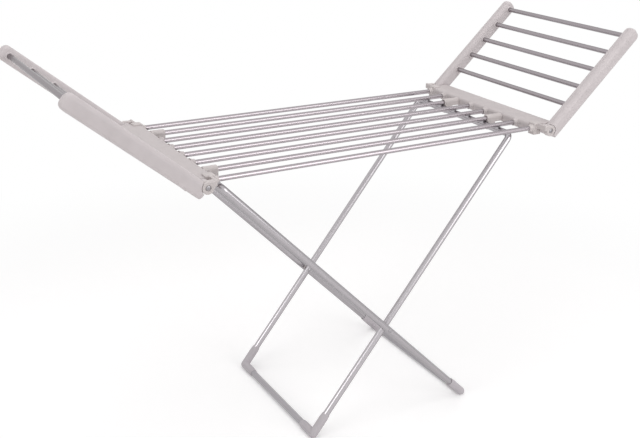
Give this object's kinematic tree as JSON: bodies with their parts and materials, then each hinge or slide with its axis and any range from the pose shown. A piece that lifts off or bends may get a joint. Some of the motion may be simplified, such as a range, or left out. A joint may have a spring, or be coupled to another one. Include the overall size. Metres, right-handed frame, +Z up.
{
  "type": "heated clothes airer",
  "caption": "Free-standing winged clothes airer with heated tubular bars, plastic end crossbeams, two folding side wings and a crossed pair of tube leg frames.",
  "frame": {"origin": "on the floor under the middle of the airer with its wings raised", "axes": "+X along the bars towards the right wing, +Y across the airer to the far side, +Z up"},
  "size_m": [1.7022, 0.568, 1.108],
  "materials": {
    "heated_bar": "satin anodised",
    "leg_tube": "satin silver paint",
    "floor_bar": "satin grey paint",
    "steel_pin": "zinc plated",
    "rail_plastic": "fine matt grain",
    "housing_plastic": "fine matt grain",
    "joint_plastic": "smooth satin",
    "elbow_plastic": "smooth matt",
    "gland_rubber": "soft matt",
    "wire_sleeve": "silicone sleeve"
  },
  "bodies": {
    "panel": {"centre_bar_1": "heated_bar", "centre_bar_2": "heated_bar", "centre_bar_3": "heated_bar", "centre_bar_4": "heated_bar", "centre_bar_5": "heated_bar", "centre_bar_6": "heated_bar", "centre_bar_7": "heated_bar", "centre_bar_8": "heated_bar", "crossbeam_housing_right": "housing_plastic", "crossbeam_cover_right": "housing_plastic", "crossbeam_housing_left": "housing_plastic", "crossbeam_cover_left": "housing_plastic", "corner_joint_right_far": "joint_plastic", "corner_joint_right_near": "joint_plastic", "corner_joint_left_far": "joint_plastic", "corner_joint_left_near": "joint_plastic", "wing_hinge_pin_right_far": "steel_pin", "wing_hinge_pin_right_near": "steel_pin", "wing_hinge_pin_left_far": "steel_pin", "wing_hinge_pin_left_near": "steel_pin", "leg_bearing_clip_far": "joint_plastic", "leg_bearing_clip_near": "joint_plastic", "leg_catch_clip_far": "joint_plastic", "leg_catch_clip_near": "joint_plastic", "cord_gland": "gland_rubber", "heater_wire_centre": "wire_sleeve"},
    "right_wing": {"wing_bar_right_1": "heated_bar", "wing_bar_right_2": "heated_bar", "wing_bar_right_3": "heated_bar", "wing_bar_right_4": "heated_bar", "wing_bar_right_5": "heated_bar", "wing_rail_outer_right_far": "rail_plastic", "wing_rail_outer_right_near": "rail_plastic", "wing_rail_inner_right_far": "rail_plastic", "wing_rail_inner_right_near": "rail_plastic", "heater_wire_right": "wire_sleeve"},
    "left_wing": {"wing_bar_left_1": "heated_bar", "wing_bar_left_2": "heated_bar", "wing_bar_left_3": "heated_bar", "wing_bar_left_4": "heated_bar", "wing_bar_left_5": "heated_bar", "wing_rail_outer_left_far": "rail_plastic", "wing_rail_outer_left_near": "rail_plastic", "wing_rail_inner_left_far": "rail_plastic", "wing_rail_inner_left_near": "rail_plastic", "heater_wire_left": "wire_sleeve"},
    "outer_frame": {"outer_frame_leg_far": "leg_tube", "outer_frame_leg_near": "leg_tube", "outer_frame_top_tube": "leg_tube", "outer_frame_floor_bar": "floor_bar", "outer_frame_foot_elbow_far": "elbow_plastic", "outer_frame_foot_elbow_near": "elbow_plastic", "crossing_rivet_far": "steel_pin", "crossing_rivet_near": "steel_pin"},
    "inner_frame": {"inner_frame_leg_far": "leg_tube", "inner_frame_leg_near": "leg_tube", "inner_frame_top_tube": "leg_tube", "inner_frame_floor_bar": "floor_bar", "inner_frame_foot_elbow_far": "elbow_plastic", "inner_frame_foot_elbow_near": "elbow_plastic"}
  },
  "joints": [
    {"name": "right_wing_fold", "type": "hinge", "parent": "panel", "child": "right_wing", "pos_m": [0.54227, 0, 0.837], "axis": [0, 1, 0], "range_deg": [0, 130]},
    {"name": "left_wing_fold", "type": "hinge", "parent": "panel", "child": "left_wing", "pos_m": [-0.52773, 0, 0.837], "axis": [0, -1, 0], "range_deg": [0, 126.5]},
    {"name": "outer_frame_fold", "type": "hinge", "parent": "panel", "child": "outer_frame", "pos_m": [-0.47773, 0, 0.818], "axis": [0, 1, 0], "range_deg": [0, 40.5]},
    {"name": "inner_frame_fold", "type": "hinge", "parent": "outer_frame", "child": "inner_frame", "pos_m": [0.04028, 0, 0.3019], "axis": [0, -1, 0], "range_deg": [0, 81]}
  ],
  "couplings": [
    {"joint": "inner_frame_fold", "follows": "outer_frame_fold", "ratio": 2}
  ]
}
